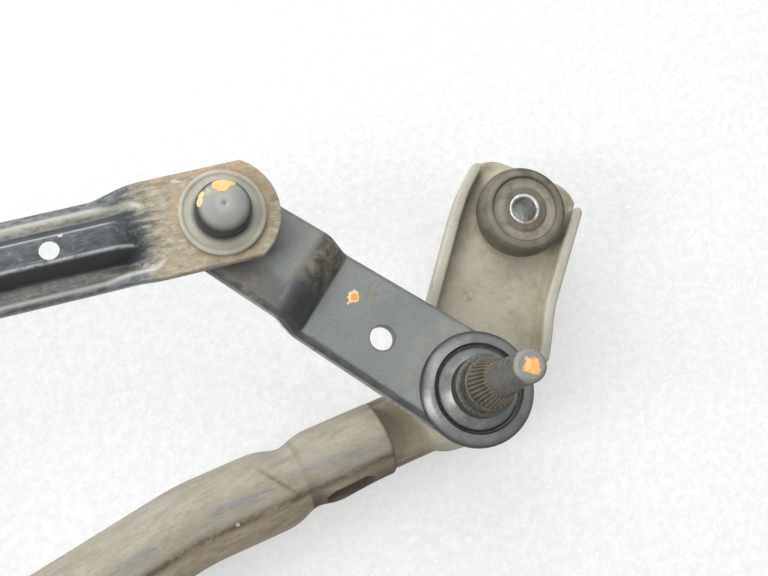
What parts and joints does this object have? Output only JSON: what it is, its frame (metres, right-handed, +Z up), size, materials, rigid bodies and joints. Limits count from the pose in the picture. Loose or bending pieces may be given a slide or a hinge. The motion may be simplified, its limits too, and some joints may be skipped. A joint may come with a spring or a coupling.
{
  "type": "windscreen wiper linkage",
  "caption": "Windscreen wiper linkage: a bent tube frame with cast pivot housings, splined spindles on jogged levers, a pressed tie link and a motor drive link.",
  "frame": {"origin": "on the right spindle's axis, at the foot of its housing", "axes": "+Z up along the spindles, +X along the line of pivots from the left spindle to the right one"},
  "size_m": [0.5955, 0.1855, 0.0855],
  "materials": {
    "tube_steel": "dusty, worn grey",
    "cast_alloy": "as cast, dusty",
    "black_steel": "black paint, worn and dusty",
    "bronze": "sintered, oiled",
    "rubber": "matt, dusty",
    "nylon": "greased",
    "zinc_steel": "zinc plated",
    "spindle_steel": "dark, rusty at the splines",
    "cap_black": "satin",
    "socket_grey": "moulded, dusty"
  },
  "bodies": {
    "frame": {"frame_tube": "tube_steel", "right_pivot_housing": "cast_alloy", "left_pivot_housing": "cast_alloy", "motor_bracket": "black_steel", "right_upper_bush": "bronze", "right_lower_bush": "bronze", "left_upper_bush": "bronze", "left_lower_bush": "bronze", "right_seal_ring": "rubber", "left_seal_ring": "rubber", "right_thrust_washer": "nylon", "left_thrust_washer": "nylon", "right_grommet": "rubber", "left_grommet": "rubber", "centre_grommet": "rubber", "right_sleeve": "zinc_steel", "left_sleeve": "zinc_steel", "centre_sleeve": "zinc_steel"},
    "left_crank": {"left_spindle": "spindle_steel", "left_lever": "black_steel", "left_tie_ball": "spindle_steel", "left_drive_ball": "spindle_steel", "left_seal_cap": "cap_black", "left_foot_washer": "zinc_steel", "left_clip": "zinc_steel"},
    "right_crank": {"right_spindle": "spindle_steel", "right_lever": "black_steel", "right_tie_ball": "spindle_steel", "right_seal_cap": "cap_black", "right_foot_washer": "zinc_steel", "right_clip": "zinc_steel"},
    "tie_link": {"tie_link": "black_steel", "tie_link_right_socket": "socket_grey", "tie_link_left_socket": "socket_grey"},
    "drive_link": {"drive_link": "black_steel", "drive_link_lever_socket": "socket_grey", "drive_link_motor_socket": "socket_grey"}
  },
  "joints": [
    {"name": "left_wipe", "type": "hinge", "parent": "frame", "child": "left_crank", "pos_m": [-0.48, 0, 0.036], "axis": [0, 0, 1], "range_deg": [-88, 2]},
    {"name": "right_wipe", "type": "hinge", "parent": "frame", "child": "right_crank", "pos_m": [0, 0, 0.036], "axis": [0, 0, 1], "range_deg": [-88, 2]},
    {"name": "tie_link_swing", "type": "hinge", "parent": "left_crank", "child": "tie_link", "pos_m": [-0.53291, 0.05595, 0.0572], "axis": [0, 0, 1], "range_deg": [-2, 88]},
    {"name": "drive_link_swing", "type": "hinge", "parent": "left_crank", "child": "drive_link", "pos_m": [-0.44908, -0.0327, 0.0492], "axis": [0, 0, 1], "range_deg": [-2, 88]}
  ],
  "couplings": [
    {"joint": "right_wipe", "follows": "left_wipe", "ratio": 1},
    {"joint": "tie_link_swing", "follows": "left_wipe", "ratio": -1},
    {"joint": "drive_link_swing", "follows": "left_wipe", "ratio": -1}
  ]
}
